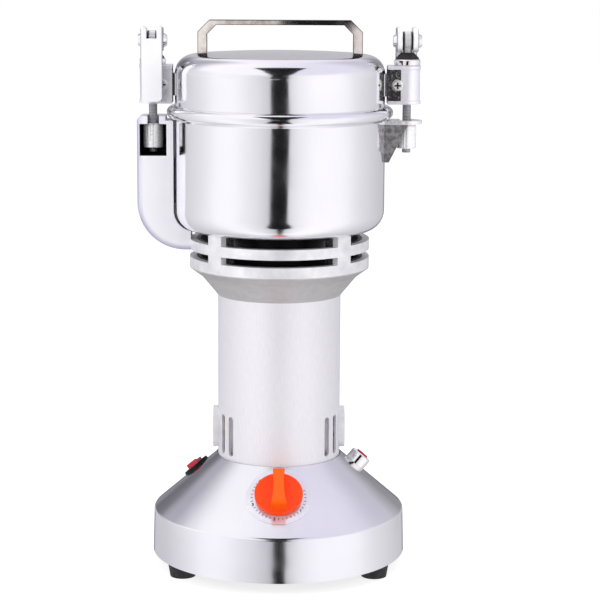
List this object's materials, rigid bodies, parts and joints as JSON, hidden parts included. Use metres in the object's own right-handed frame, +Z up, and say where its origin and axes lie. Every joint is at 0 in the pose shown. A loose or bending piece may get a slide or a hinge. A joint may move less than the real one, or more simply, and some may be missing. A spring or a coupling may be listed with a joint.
{
  "type": "powder grinder",
  "caption": "Electric powder grinder: mirror-finish stainless bowl and clamp-down lid on an upright motor tube with a round base, timer knob, rocker switch and reset button.",
  "frame": {"origin": "on the floor under the middle of the machine, between the three feet", "axes": "+Z up along the motor shaft, -Y towards the timer at the front, +X to the right seen from the front"},
  "size_m": [0.196, 0.178, 0.3825],
  "materials": {
    "polished_steel": "mirror-polished stainless steel",
    "satin_steel": "satin stainless steel",
    "machined_steel": "turned steel",
    "chrome_trim": "bright chrome plating",
    "screw_steel": "zinc-plated steel",
    "tube_aluminium": "satin anodised",
    "cast_aluminium": "satin, as cast and turned",
    "polished_cast": "polished casting",
    "plate_metal": "black powder coat",
    "black_rubber": "matt black",
    "clear_silicone": "milky silicone",
    "dial_print": "printed film",
    "orange_plastic": "glossy orange",
    "red_plastic": "glossy red",
    "black_plastic": "black moulding",
    "cream_plastic": "cream moulding",
    "brass": "turned brass",
    "carbon": "pressed carbon",
    "copper": "enamelled copper",
    "core_steel": "stacked electrical steel"
  },
  "bodies": {
    "base": {"base_shell": "polished_steel", "base_plate": "plate_metal", "rubber_feet": "black_rubber", "foot_screws": "screw_steel", "cord_gland": "black_rubber", "timer_dial": "dial_print", "timer_body": "cream_plastic", "switch_housing": "black_plastic", "breaker_body": "black_plastic", "breaker_collar": "chrome_trim", "motor_tube": "tube_aluminium", "brush_caps": "cast_aluminium", "brush_holders": "brass", "carbon_brushes": "carbon", "bearing_bracket": "cast_aluminium", "bracket_bolts": "screw_steel", "lower_bearing": "machined_steel", "stator_core": "core_steel", "stator_windings": "copper", "upper_bearing": "machined_steel", "mounting_plate": "cast_aluminium", "vent_neck": "cast_aluminium", "seal_housing": "black_plastic", "shaft_seal": "black_rubber", "grinding_bowl": "polished_steel", "bowl_screws": "screw_steel", "bowl_catch": "satin_steel", "latch_arm": "polished_cast", "arm_screws": "screw_steel", "safety_sensor": "black_plastic"},
    "rotor": {"motor_shaft": "machined_steel", "commutator": "copper", "armature_core": "core_steel", "armature_windings": "copper", "cooling_fan": "black_plastic", "lower_blade": "satin_steel", "middle_blade": "satin_steel", "upper_blade": "satin_steel", "blade_spacers": "satin_steel", "blade_nut": "satin_steel"},
    "knob": {"timer_knob": "orange_plastic", "timer_shaft": "machined_steel"},
    "rocker": {"switch_rocker": "red_plastic"},
    "button": {"reset_button": "red_plastic"},
    "lid": {"lid_shell": "polished_steel", "lid_seal": "clear_silicone", "lid_handle": "chrome_trim", "handle_screws": "screw_steel", "clamp_brackets": "satin_steel", "bracket_screws": "screw_steel", "clamp_washers": "chrome_trim", "clamp_domes": "black_rubber"},
    "left_rod": {"left_eye_bolt": "machined_steel", "left_clamp_nut": "machined_steel", "left_clamp_pin": "chrome_trim"},
    "right_rod": {"right_eye_bolt": "machined_steel", "right_clamp_nut": "machined_steel", "right_clamp_pin": "chrome_trim"},
    "left_handle": {"left_lever": "satin_steel"},
    "right_handle": {"right_lever": "satin_steel"}
  },
  "joints": [
    {"name": "shaft_spin", "type": "hinge", "parent": "base", "child": "rotor", "pos_m": [0, 0, 0.15], "axis": [0, 0, 1], "continuous": true},
    {"name": "timer_turn", "type": "hinge", "parent": "base", "child": "knob", "pos_m": [0, -0.062, 0.06317], "axis": [0, 0.6561, -0.7547], "range_deg": [0, 300]},
    {"name": "switch_rock", "type": "hinge", "parent": "base", "child": "rocker", "pos_m": [-0.05667, 0.01205, 0.06274], "axis": [0.7382, -0.1569, 0.6561], "range_deg": [0, 14]},
    {"name": "reset_press", "type": "slide", "parent": "base", "child": "button", "axis": [-0.6417, -0.1364, -0.7547], "range_m": [0, 0.0015], "stiffness_N_per_m": 300},
    {"name": "lid_turn", "type": "hinge", "parent": "base", "child": "lid", "pos_m": [0, 0, 0.3221], "axis": [0, 0, 1], "range_deg": [0, 20]},
    {"name": "left_rod_slide", "type": "slide", "parent": "lid", "child": "left_rod", "axis": [0, 0, 1], "range_m": [-0.0016, 0]},
    {"name": "right_rod_slide", "type": "slide", "parent": "lid", "child": "right_rod", "axis": [0, 0, 1], "range_m": [-0.0016, 0]},
    {"name": "left_lever_swing", "type": "hinge", "parent": "left_rod", "child": "left_handle", "pos_m": [-0.0873, 0, 0.36852], "axis": [-1, 0, 0], "range_deg": [0, 90]},
    {"name": "right_lever_swing", "type": "hinge", "parent": "right_rod", "child": "right_handle", "pos_m": [0.0873, 0, 0.36852], "axis": [1, 0, 0], "range_deg": [0, 90]}
  ],
  "couplings": [
    {"joint": "left_lever_swing", "follows": "left_rod_slide", "rad_per_m": -981.7},
    {"joint": "right_lever_swing", "follows": "right_rod_slide", "rad_per_m": -981.7}
  ]
}
